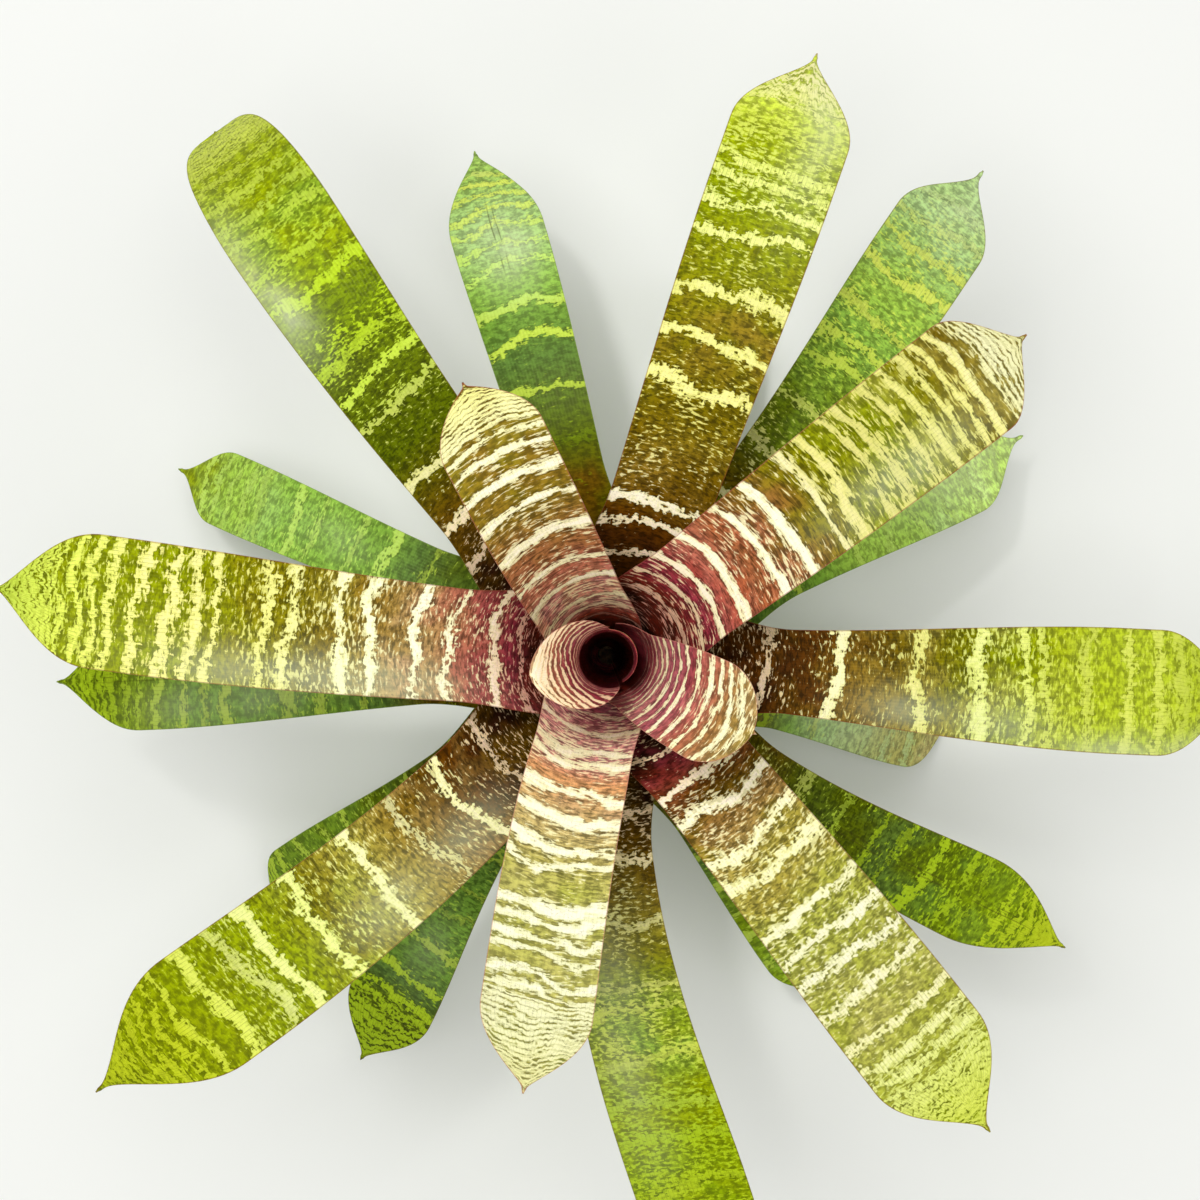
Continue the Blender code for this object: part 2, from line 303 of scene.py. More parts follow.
leaves = {
    "heart_leaf_1": {
        "shape": (45, 0, 0.0132, 0.168, 80, 0.05, 0.9, 0.012, 0.5),
        "dark": "40 night, 70 maroon, 100 wine",
        "patch": "40 maroon, 100 wine",
        "pale": "40 maroon, 80 mauve, 100 blush",
        "bands": "70 2.5 50, 80 2.5 60, 88 2.5 70",
        "flecks": "60 10, 100 30",
        "beak": 0.25,
    },
    "heart_leaf_2": {
        "shape": (190, 0, 0.0345, 0.218, 32, 0.05, 0.9, 0.026, 0.7),
        "dark": "50 maroon, 76 wine, 86 wine, 93 rosewood, 100 taupe",
        "patch": "50 wine, 85 mauve, 94 chestnut, 100 sand",
        "pale": "45 wine, 66 mauve, 76 blush, 85 shell, 97 shell, 100 cream",
        "bands": "62 1.6 60, 66 1.6 60, 70 1.6 70, 73.5 1.6 80, 77 1.7 80, 80 1.8 90, 83.2 1.8, 86.2 1.9, "
                 "88.8 2, 91.2 2, 93.4 2.2, 95.5 2.4, 97.5 3, 99.2 2.8",
        "flecks": "70 -30, 93 -20, 97 50, 100 70",
        "beak": 0.25,
    },
    "heart_leaf_3": {
        "shape": (334, 0, 0.069, 0.238, 34, 0.046, 0.9, 0.022, 0.6),
        "dark": "40 maroon, 50 wine, 58 mauve, 72 mauve, 84 rosewood, 93 tan",
        "patch": "40 wine, 58 rose, 76 wine, 86 chestnut, 100 khakiBrown",
        "pale": "35 mauve, 46 blush, 54 shell, 62 cream",
        "bands": "42 1.6 50, 46 1.8 60, 50 1.6 60, 53.5 1.8 80, 57 1.6 90, 60 2, 64.5 2.2, 68.5 1.6 90, "
                 "73 3.2, 79 2.8, 84.5 2.8, 88 2, 91.5 2.2, 95 1.8",
        "flecks": "50 -20, 70 0, 80 20, 92 45, 97 70, 100 90",
    },
    # this leaf is pink at its base, and the rose and terracotta tones there are also painted light:
    # lighter than the leaf, to offset the shade in the heart
    "inner_leaf_1": {
        "shape": (117.5, -1.5, 0.13, 0.262, 26, 0.046, 0.96, 0.027, 0.9),
        "dark": "32 night, 35 brick, 40 rose, 48 rose, 54 rosewood, 60 chestnut, 72 bronze, 88 bronze, "
                "100 oliveBrown",
        "patch": "33 brick, 38 rose, 48 terracotta, 57 rosewood, 66 chestnut, 78 olive, 100 khakiBrown",
        "pale": "34 blush, 37 shell, 40 cream, 85 cream, 93 butter, 100 corn",
        "bands": "33 2 50, 38.5 2.4 90, 43 3, 50.8 3.2, 57.3 3.6, 66.5 4.2, 74.5 4, 80.5 3.6, 85.5 2.8, "
                 "88.7 2.4",
        "flecks": "34 20, 38 60, 48 70, 54 50, 56 60, 62 40, 64.5 75, 69 35, 72 75, 77 35, 83 55, 87 50",
        "closeBands": (0.91, 2.6),
    },
    # this leaf is pink at its base, and the rose and terracotta tones there are also painted light:
    # lighter than the leaf, to offset the shade in the heart
    "inner_leaf_2": {
        "shape": (258.7, 5, 0.18, 0.262, 16, 0.048, 0.95, 0.032, 1.2),
        "dark": "34 mauve, 38 rose, 46 rose, 50 terracotta, 58 sand, 70 khaki, 86 khaki, 93 khakiGreen, "
                "100 khaki",
        "patch": "34 wine, 40 rose, 50 terracotta, 56 taupe, 70 khakiGreen, 88 khaki",
        "pale": "34 shell, 42 cream, 50 cream, 75 milk, 90 milk, 100 butter",
        "bands": "33 2.2 60, 39 3.4 90, 44.5 3 90, 46.8 3.4, 52.7 4.8, 57.5 6, 63.2 5, 66 3, 72.8 5.4, 75 "
                 "3.6, 78 4.2, 80 3, 84 3.6",
        "flecks": "36 60, 40 75, 48 70, 49 15, 51.5 0, 54 45, 61 40, 67 40, 68.5 10, 71.5 40, 76 30, 79 "
                  "40, 82 30, 86 50, 100 60",
        "closeBands": (0.865, 2.4),
    },
    "inner_leaf_3": {
        "shape": (38.2, 0, 0.219, 0.258, 10, 0.054, 0.9, 0.026, 1.4),
        "dark": "30 night, 34 maroon, 39 wine, 45 rosewood, 53 cocoa, 58 bronze, 64 olive, 78 oliveLime, "
                "86 olive, 91 oliveBrown, 95 khakiBrown",
        "patch": "30 maroon, 38 wine, 45 brick, 50 russet, 55 rosewood, 62 cocoa, 70 oliveLime, 80 "
                 "khakiGreen, 88 khakiBrown",
        "pale": "30 blush, 36 shell, 42 cream, 62 cream, 68 corn, 78 corn, 84 straw, 90 corn, 95 milk, "
                "100 butter",
        "bands": "32.5 2 60, 37.2 1.8 80, 41.7 4, 47 5, 54 4.2, 59.2 5.4, 65.5 3.6 90, 68.7 3.8 90, 73.2 "
                 "2.6 80, 75.8 2.4 80, 80 3 90, 83.2 3.2, 86.2 2.6, 88.6 2.6, 91.2 3.2",
        "flecks": "36 60, 40 50, 44 35, 50 45, 53 60, 58 60, 61 30, 64 35, 66 65, 71 60, 74 75, 80 70, 88 "
                  "50, 100 60",
        "closeBands": (0.94, 2.6),
        "bloom": ((0.76, -0.55, 0.12, 0.4, 0.26),),
    },
    "middle_leaf_1": {
        "shape": (173.2, -1.6, 0.265, 0.216, -8, 0.058, 0.86, 0.044, 1.3),
        "dark": "28 night, 33 wine, 38 rosewood, 46 tan, 54 bronze, 62 darkOlive, 70 olive, 78 oliveLime",
        "patch": "30 maroon, 38 wine, 44 rosewood, 50 taupe, 56 khakiBrown, 64 olive, 74 oliveLime, 100 "
                 "lime",
        "pale": "30 blush, 34 shell, 38 cream, 42 cream, 50 milk, 58 butter, 66 straw, 80 corn, 90 lemon, "
                "100 softLime",
        "bands": "31 2.4 80, 35.5 4.2, 42.7 3.8, 47.3 3.8, 54 4.6, 57.8 4.4, 63.8 3.2, 66.5 2.6, 73 3, "
                 "75.7 3.8, 78.5 3.8, 82 4, 85.3 3.2, 87.7 3, 90 3.6",
        "flecks": "32 50, 37 45, 44 30, 50 35, 55 60, 60 55, 63 60, 66 45, 70 50, 76 50, 84 35, 90 60, "
                  "100 75",
        "closeBands": (0.925, 3.2),
        "bloom": ((0.52, 0.75, 0.12, 0.45, 0.3),
                  (0.7, 0.8, 0.1, 0.4, 0.22)),
    },
    "middle_leaf_2": {
        "shape": (309, -1.4, 0.261, 0.205, -11, 0.057, 0.84, 0.044, 1.45),
        "dark": "34 night, 38 maroon, 44 umber, 47 bronze, 53 khakiBrown, 60 khakiBrown, 66 khakiGreen, "
                "88 khakiGreen, 95 lime, 100 brightLime",
        "patch": "36 wine, 44 cocoa, 52 tan, 62 khakiGreen, 80 khaki, 90 freshLime",
        "pale": "38 shell, 42 cream, 48 cream, 56 butter, 70 milk, 80 butter, 88 primrose, 96 lemon",
        "bands": "34 3, 41 4.6, 46.2 4.4, 52.5 3.8, 56.2 4.6, 63.7 4.2, 68 3.8, 72.2 3.8, 76.2 3.2, 81 "
                 "3.8, 84.7 3.4, 87 3.4",
        "flecks": "32 40, 36 10, 40 10, 43 60, 49 50, 54 55, 60 50, 78 50, 82.5 10, 85 70, 100 65",
        "closeBands": (0.895, 3.4),
    },
    "middle_leaf_3": {
        "shape": (71, -0.6, 0.279, 0.192, -14, 0.054, 0.84, 0.038, 1.5),
        "dark": "32 night, 37 umberRed, 42 umber, 50 oliveBrown, 58 darkOlive, 66 olive, 74 oliveLime, 82 "
                "lime, 87 freshLime, 92 lemonGreen",
        "patch": "36 umberRed, 44 bronze, 54 darkOlive, 64 bronze, 72 olive, 80 lime, 88 lime, 92 "
                 "lemonGreen",
        "pale": "30 shell, 40 cream, 50 corn, 66 straw, 80 primrose, 90 lemon, 96 butter",
        "bands": "31 3.8, 37.2 4.2, 40.8 4.8, 56.2 4.8, 61.8 4.8, 68 4.4, 75.2 3.4, 79 3.4, 82.2 2.8, "
                 "84.6 2.8",
        "flecks": "33 0, 40 15, 43 40, 54 50, 58 35, 62 35, 64.5 15, 67 10, 70 45, 74.5 35, 77 10, 80 65, "
                  "86 85, 90 80, 95 40, 100 35",
        "closeBands": (0.93, 3.6),
        "bloom": ((0.91, -0.6, 0.09, 0.5, 0.3),),
    },
    "middle_leaf_4": {
        "shape": (220.2, -6.5, 0.295, 0.178, -17, 0.059, 0.84, 0.062, 1.5),
        "dark": "34 night, 41 umberRed, 46 umber, 50 bronze, 56 khakiBrown, 64 olive, 72 lime",
        "patch": "36 umber, 46 tan, 54 khakiBrown, 60 khakiGreen, 70 lime, 80 oliveLime, 100 lime",
        "pale": "36 shell, 42 butter, 54 butter, 64 primrose, 74 primrose, 80 lemon, 87 limeLight",
        "bands": "36 2.4 60, 42.7 4.2, 50 2.4 60, 57 4.8, 66 4.2, 72.2 5.4, 76 3 70, 81 5.2, 85.5 3.6 90, "
                 "87.7 3.2 80, 90 3 70, 92 3 60",
        "flecks": "34 45, 42 30, 46 40, 48 40, 50 50, 52 35, 55 40, 62 50, 64 50, 69 15, 75 55, 80 50, 84 "
                  "10, 90 40, 100 45",
        "closeBands": (0.94, 3.8),
        "bloom": ((0.45, 0.5, 0.06, 0.5, 0.26),
                  (0.58, 0.5, 0.06, 0.5, 0.24)),
    },
    "middle_leaf_5": {
        "shape": (356.6, 1, 0.282, 0.168, -18, 0.056, 0.66, 0.04, 1.4),
        "dark": "37 night, 46 umberRed, 52 umber, 59 darkOlive, 68 oliveLime, 76 freshLime, 84 brightLime",
        "patch": "38 umberRed, 50 bronze, 60 khakiBrown, 70 khakiGreen, 80 brightLime",
        "pale": "38 shell, 44 butter, 48 butter, 58 straw, 66 primrose, 75 lemon, 88 lemon, 94 "
                "lemonGreen, 100 limeLight",
        "bands": "38 2.4 70, 47.5 5.6, 58 4, 65.5 4.6, 71.5 3.4, 74 2.8 80, 79 2.8 70, 84.5 4 90, 88.5 "
                 "3.6 90, 91.5 3.6 80",
        "flecks": "34 55, 39 30, 45 35, 50 30, 56 35, 58 50, 61 30, 64 70, 70 55, 80 55, 82 15, 90 60, "
                  "100 50",
        "closeBands": (0.94, 3.6),
        "bloom": ((0.56, -0.6, 0.06, 0.4, 0.26),
                  (0.68, -0.6, 0.06, 0.4, 0.24),
                  (0.84, -1, 0.12, 0.3, 0.34)),
    },
    "middle_leaf_6": {
        "shape": (126.8, -4, 0.3, 0.128, -62, 0.053, 0.76, 0.085, 0.28),
        "dark": "32 night, 40 umber, 50 moss, 60 moss, 68 fern, 76 lime, 90 lime, 96 brightLime",
        "patch": "38 umber, 50 moss, 62 fern, 72 greenLime, 80 leafGreen, 90 lime, 100 freshLime",
        "pale": "36 shell, 42 butter, 50 straw, 57 softLime, 64 springLime, 70 springLime, 82 softLime, "
                "88 lemonGreen, 95 lemon",
        "bands": "34 3 80, 39 4, 46.5 4.6 90, 54.5 3 70, 59 3.6 90, 62.5 2.6 60, 70.5 3.6 85, 75 3 70, 80 "
                 "3.2 70, 83 3 60, 86 3 70, 89 3 60",
        "flecks": "35 30, 42 15, 50 20, 56 35, 60 50, 64.5 70, 68 10, 72 40, 78 50, 90 40",
        "closeBands": (0.92, 4.0),
        "bloom": ((0.69, 0.8, 0.05, 0.4, 0.35),
                  (0.78, 0.9, 0.08, 0.4, 0.25)),
    },
    "middle_leaf_7": {
        "shape": (280, 13, 0.288, 0.15, -22, 0.051, 0.78, 0.04, 1.5),
        "dark": "34 night, 42 umber, 48 oliveBrown, 54 olive, 60 greenLime, 67 lime, 74 lime, 84 "
                "greenLime, 100 lime",
        "patch": "40 umber, 50 khakiBrown, 57 khakiGreen, 66 grass, 74 lime",
        "pale": "38 shell, 46 butter, 54 corn, 62 lemon, 67 lemon, 70 softLime, 78 springLime, 100 "
                "limeLight",
        "bands": "36 3, 42.5 3.2, 50 2.8 60, 58.5 3.4 50, 61 3 50, 68 3.2 50, 73 3 60, 78 3 50, 85 3.4 "
                 "60, 90 3.2 60",
        "flecks": "38 45, 46 55, 52 40, 56 30, 61 60, 65 70, 69 50, 74 70, 82 80, 86 70, 100 50",
        "closeBands": (0.93, 3.6),
        "bloom": ((0.58, -0.3, 0.08, 0.6, 0.2),
                  (0.72, -0.5, 0.1, 0.5, 0.16)),
    },
    "outer_leaf_1": {
        "shape": (52.3, 5, 0.283, 0.118, -24, 0.047, 0.74, 0.04, 1.8),
        "dark": "40 umber, 50 moss, 60 fern, 70 grass, 76 meadow, 84 sage, 92 mist",
        "patch": "50 fern, 66 grass, 80 meadow, 100 mist",
        "pale": "42 butter, 52 straw, 62 softLime, 74 lemon, 84 lemon, 92 pearl",
        "bands": "42 3 80, 49 2.6 50, 56.5 3.2 60, 64.5 3.4 80, 68 2.8 80, 72 2.8 60, 79 4.4 80, 84.5 3 "
                 "60, 89 3 50, 93 3 50",
        "flecks": "60 35, 68 55, 76 30, 84 50",
        "bloom": ((0.93, -0.3, 0.08, 0.6, 0.16),),
    },
    # painted light: the leafGreen ground from 54 to 76 hundredths is lighter than the leaf, to offset the
    # shade that the leaf above casts on it
    "outer_leaf_2": {
        "shape": (182.7, 0, 0.258, 0.098, -26, 0.048, 0.72, 0.044, 1.4),
        "dark": "40 umber, 47 pond, 54 leafGreen, 76 leafGreen, 84 greenLime, 92 fern",
        "patch": "44 fern, 60 leafGreen, 80 grass, 90 fern",
        "pale": "80 softLime, 90 springLime",
        "bands": "50 2.8 50, 57.5 4.2 60, 62.5 4.6 60, 71 3.4 80, 74.5 3 60, 78.5 3 80, 82.8 3.2 80, 86.2 "
                 "2.2 70, 88.5 2 60",
        "flecks": "50 20, 58 50, 64 50, 68 20, 80 25, 90 35, 100 50",
        "closeBands": (0.905, 4.2),
        "creases": "62 0, 76 50, 90 70, 96 0",
        "bloom": ((0.66, 0.5, 0.1, 0.5, 0.2),
                  (0.78, 0.6, 0.08, 0.5, 0.16)),
    },
    "outer_leaf_3": {
        "shape": (327.4, 9, 0.2575, 0.08, -28, 0.044, 0.72, 0.06, 1.25),
        "dark": "40 umber, 48 moss, 60 moss, 74 fern, 84 greenLime",
        "patch": "45 moss, 66 pond, 76 leafGreen, 100 lime",
        "pale": "42 straw, 52 softLime, 60 springLime, 80 springLime, 100 limeLight",
        "bands": "47.5 2.6 60, 54 2.4 40, 61.5 3 50, 66 2.4 40, 71 3.8 80, 77 3 70, 80 2.4 40, 86 3.4 90, "
                 "88.5 2.6 80, 91.2 3 80",
        "flecks": "70 25, 74 55, 78 40, 84 40, 90 60",
        "closeBands": (0.935, 4.0),
        "creases": "45 0, 60 80, 90 90, 97 0",
    },
    "outer_leaf_4": {
        "shape": (104.8, 2.6, 0.249, 0.068, -30, 0.045, 0.8, 0.048, 1.25),
        "dark": "40 umber, 46 moss, 60 pond, 68 leafGreen, 74 grass, 80 sage, 88 sage, 95 meadow",
        "patch": "46 moss, 62 pond, 72 grass, 80 sage",
        "pale": "46 greenLime, 56 softLime, 66 softLime, 72 greenLight, 79 greenLight, 93 lemon, 100 "
                "pearl",
        "bands": "46 2.4 40, 55 3 80, 63 4.4 90, 69 4 80, 76.5 2.6 90, 80 2.6 90, 83.5 2.4 90, 87 2.6 90, "
                 "90 2.2 80, 93 2.4 80, 95.5 2.2 70",
        "flecks": "50 15, 80 0, 88 20, 100 45",
        "creases": "74 0, 79 100, 87 90, 90 0",
        "bloom": ((0.8, -0.1, 0.08, 0.8, 0.36),),
    },
    "outer_leaf_5": {
        "shape": (238.7, 8, 0.232, 0.04, -36, 0.044, 0.74, 0.042, 1.35),
        "dark": "40 umber, 46 pond, 58 leafGreen, 72 leafGreen, 79 pond, 85 moss",
        "patch": "44 pond, 60 grass, 74 leafGreen, 84 fern",
        "pale": "70 softLime, 80 springLime",
        "bands": "48 2.6 60, 56 2.8 50, 62 2.6 40, 69.5 3.6 80, 78 4.6 90, 83.5 4 90, 85.8 2.4 80, 88.2 "
                 "2.6 80",
        "flecks": "50 15, 80 25, 86 60, 90 40",
        "closeBands": (0.9, 5.2),
        "bloom": ((0.7, 0.3, 0.08, 0.6, 0.14),),
    },
    "outer_leaf_6": {
        "shape": (27.6, -1.5, 0.231, 0.028, -38, 0.047, 0.74, 0.046, 2),
        "dark": "38 pond, 46 leafGreen, 56 meadow, 72 meadow, 84 greenLight",
        "patch": "40 leafGreen, 56 grass, 70 mist, 85 pearl",
        "pale": "42 softLime, 60 greenLight, 80 greenLight, 100 pearl",
        "bands": "42 3 60, 56 3.4 60, 64 3 40, 70 3.6 50, 76 3.4 40, 83 3.4 40, 90 3.4 40",
        "flecks": "50 15, 90 25, 100 40",
        "bloom": ((0.8, 0.2, 0.16, 0.9, 0.34),),
    },
    "outer_leaf_7": {
        "shape": (156.8, 0, 0.231, 0.02, -40, 0.037, 0.8, 0.034, 1.7),
        "dark": "36 moss, 44 pond, 52 leafGreen, 60 grass, 72 grass, 79 meadow, 86 meadow, 92 lime",
        "patch": "40 pond, 50 grass, 64 leafGreen, 76 sage, 100 grass",
        "pale": "40 softLime, 50 greenLight, 90 greenLight, 100 limeLight",
        "bands": "42 2.6 40, 50 3.6 80, 55.5 3 50, 65 3 40, 70.5 3.2 80, 77 3.2 40, 80 3 50, 84 3 50, 88 "
                 "3.4 60, 92 4 80",
        "flecks": "50 20, 55 45, 70 30, 90 45, 100 50",
        "bloom": ((0.6, 0, 0.1, 0.6, 0.12),),
    },
    "outer_leaf_8": {
        "shape": (304, 3, 0.206, 0.012, -42, 0.042, 0.76, 0.044, 1.3),
        "dark": "40 umber, 50 pond, 60 fern, 80 greenLime",
        "patch": "40 pond, 60 leafGreen, 80 grass",
        "pale": "80 softLime, 100 springLime",
        "bands": "42 3.2 70, 50 3 60, 58 3.4 60, 66 3 60, 73 3.6 70, 80 3 70, 86 3.4 80, 91 3 70",
        "flecks": "50 25, 90 45, 100 50",
        "closeBands": (0.94, 3.8),
    },
    "outer_leaf_9": {
        "shape": (72, 0, 0.19, 0.007, -44, 0.043, 0.76, 0.03, 1.5),
        "dark": "40 umber, 50 moss, 60 fern, 80 greenLime",
        "patch": "40 pond, 60 leafGreen, 100 grass",
        "pale": "45 softLime",
        "bands": "43 3.2 70, 52 3 60, 60 3.4 60, 69 3.2 60, 77 3.4 60, 84 3 60, 90 3.2 60",
        "flecks": "50 25, 90 40, 100 50",
    },
    "outer_leaf_10": {
        "shape": (217, -4, 0.212, 0.003, -44, 0.043, 0.76, 0.03, 1.3),
        "dark": "40 umber, 50 moss, 70 fern",
        "patch": "40 pond, 70 leafGreen",
        "pale": "80 softLime, 100 springLime",
        "bands": "41 3.2 70, 51 3 60, 59 3 50, 68 3.6 70, 75 3 60, 82 3.4 70, 88 3 70",
        "flecks": "50 25, 90 40, 100 50",
        "closeBands": (0.92, 4.2),
    },
    "outer_leaf_11": {
        "shape": (346.8, 0, 0.174, 0.002, -50, 0.043, 0.76, 0.028, 0.9),
        "dark": "40 umber, 48 grass, 58 mist, 80 khaki",
        "patch": "40 leafGreen, 56 sage, 70 mist, 100 taupe",
        "pale": "42 springLime, 52 lemon, 62 pearl",
        "bands": "44 3.2 70, 54 3.4 60, 63 3 60, 72 3.4 60, 80 3 50, 87 3.2 60",
        "flecks": "50 25, 90 40, 100 50",
        "bloom": ((0.62, 0, 0.16, 0.9, 0.3),),
    },
}


def readStops(text, part):
    # "40 umber, 50 moss" as [(0.40, part("umber")), (0.50, part("moss"))]
    rows = [row.split() for row in text.split(", ")]
    return [(float(place) / 100, *map(part, values)) for place, *values in rows]


def hundredth(word):
    return float(word) / 100


for leaf in leaves.values():
    leaf.update(zip(shapeWords, leaf["shape"]))
    for name in ("dark", "patch", "pale"):
        leaf[name] = readStops(leaf[name], str)
    leaf["bands"] = readStops(leaf["bands"], float)
    leaf["flecks"] = readStops(leaf["flecks"], hundredth)
    leaf["creases"] = readStops(leaf.get("creases", "0 0"), hundredth)


# node helpers


def wire(tree, value, socket):
    if isinstance(value, bpy.types.NodeSocket):
        tree.links.new(value, socket)
    else:
        socket.default_value = value


def calc(tree, operation, *values, clamp=False):
    node = tree.nodes.new("ShaderNodeMath")
    node.operation = operation
    node.use_clamp = clamp
    for value, socket in zip(values, node.inputs):
        wire(tree, value, socket)
    return node.outputs[0]


def times(tree, first, second):
    return calc(tree, "MULTIPLY", first, second)


def timesPlus(tree, first, second, third):
    return calc(tree, "MULTIPLY_ADD", first, second, third)


def ramp(tree, value, low, high, start=0.0, end=1.0):
    # an easy step from start to end as value goes from low to high
    node = tree.nodes.new("ShaderNodeMapRange")
    node.interpolation_type = "SMOOTHSTEP"
    for name, number in (("Value", value), ("From Min", low), ("From Max", high),
                         ("To Min", start), ("To Max", end)):
        wire(tree, number, node.inputs[name])
    return node.outputs["Result"]


def speckle(tree, across, along, alongScale, acrossScale, detail, distortion=0.0):
    # noise over the leaf's face, stretched to its own length along and across
    place = tree.nodes.new("ShaderNodeCombineXYZ")
    wire(tree, times(tree, along, alongScale), place.inputs["X"])
    wire(tree, times(tree, across, acrossScale), place.inputs["Y"])
    node = tree.nodes.new("ShaderNodeTexNoise")
    node.noise_dimensions = "2D"
    wire(tree, place.outputs[0], node.inputs["Vector"])
    node.inputs["Scale"].default_value = 1.0
    node.inputs["Detail"].default_value = detail
    node.inputs["Roughness"].default_value = 0.55
    node.inputs["Distortion"].default_value = distortion
    return calc(tree, "SUBTRACT", node.outputs["Fac"], 0.5)


def mixTones(tree, factor, first, second, way="MIX"):
    node = tree.nodes.new("ShaderNodeMix")
    node.data_type = "RGBA"
    node.blend_type = way
    wire(tree, factor, node.inputs["Factor"])
    wire(tree, first, node.inputs["A"])
    wire(tree, second, node.inputs["B"])
    return node.outputs["Result"]


def attribute(tree, name, output):
    node = tree.nodes.new("ShaderNodeAttribute")
    node.attribute_name = name
    return node.outputs[output]


def newGroup(name, inputs, outputs):
    group = bpy.data.node_groups.new(name, "ShaderNodeTree")
    for label, start in inputs:
        socket = group.interface.new_socket(name=label, in_out="INPUT",
                                            socket_type="NodeSocketFloat")
        socket.default_value = start
    for label in outputs:
        group.interface.new_socket(name=label, in_out="OUTPUT",
                                   socket_type="NodeSocketFloat")
    entry = group.nodes.new("NodeGroupInput")
    result = group.nodes.new("NodeGroupOutput")
    return group, entry.outputs, result.inputs


def useGroup(tree, group, values):
    node = tree.nodes.new("ShaderNodeGroup")
    node.node_tree = group
    for label, value in values.items():
        wire(tree, value, node.inputs[label])
    return node.outputs


# cross bands: pale bands with torn edges, broken by scribble and by the veins

# noise over the leaf: how fine it is along and across the leaf, per metre, and its detail
markings = {
    "wobble": (24.0, 30.0, 1.5),
    "teeth": (150.0, 430.0, 1.0),
    "bandWidth": (60.0, 70.0, 2.0),
    "crowd": (75.0, 60.0, 2.0),
    "scrawl": (520.0, 190.0, 2.0, 0.8),
    "veinBend": (60.0, 60.0, 1.0),
    "veinBreaks": (240.0, 300.0, 1.0),
    "creaseBreaks": (40.0, 300.0, 1.0),
    "grain": (330.0, 260.0, 4.0),
    "patch": (42.0, 44.0, 2.0),
    "tearFineness": 560.0,
    "tearDetail": 3.0,
    "fleckFineness": 760.0,
    "fleckDetail": (3.5, 0.4),
    "fleckStreak": 1.5,
    "widthSwing": 2.2,
    "crowdSwing": 1.3,
    "fleckGain": (2.2, -2.1),
    "fleckContrast": 8.3,
    "fleckBlur": 1200.0,
    "fleckForce": 0.78,
    "grainFleck": 0.7,
    "veinGap": 0.0018,
    "veinSwing": 0.35,
    "creaseOffset": 0.0014,
    "creaseSwing": 0.003,
}

# where each marking starts and is full, and its values there if they aren't 0 and 1:
# rim, core and besideBand in metres inside a band, tearByGap in metres between bands,
# crease in metres from the crease, vein in shares of veinGap, the others in noise strength
steps = {
    "tearByGap": (0.001, 0.013, 0.22, 1.0),
    "core": (0.0002, 0.0022),
    "rim": (-0.0018, -0.0002),
    "besideBand": (-0.0024, 0.0, 0.0, 0.35),
    "scrawl": (0.004, 0.018, 1.0, 0.0),
    "vein": (0.38, 0.48),
    "veinBreaks": (-0.12, 0.04),
    "scratch": (-0.05, -0.11),
    "creaseShade": (0.0001, 0.0006, 1.0, 0.0),
    "creaseBreaks": (-0.08, 0.06),
    "patch": (-0.12, 0.14),
}


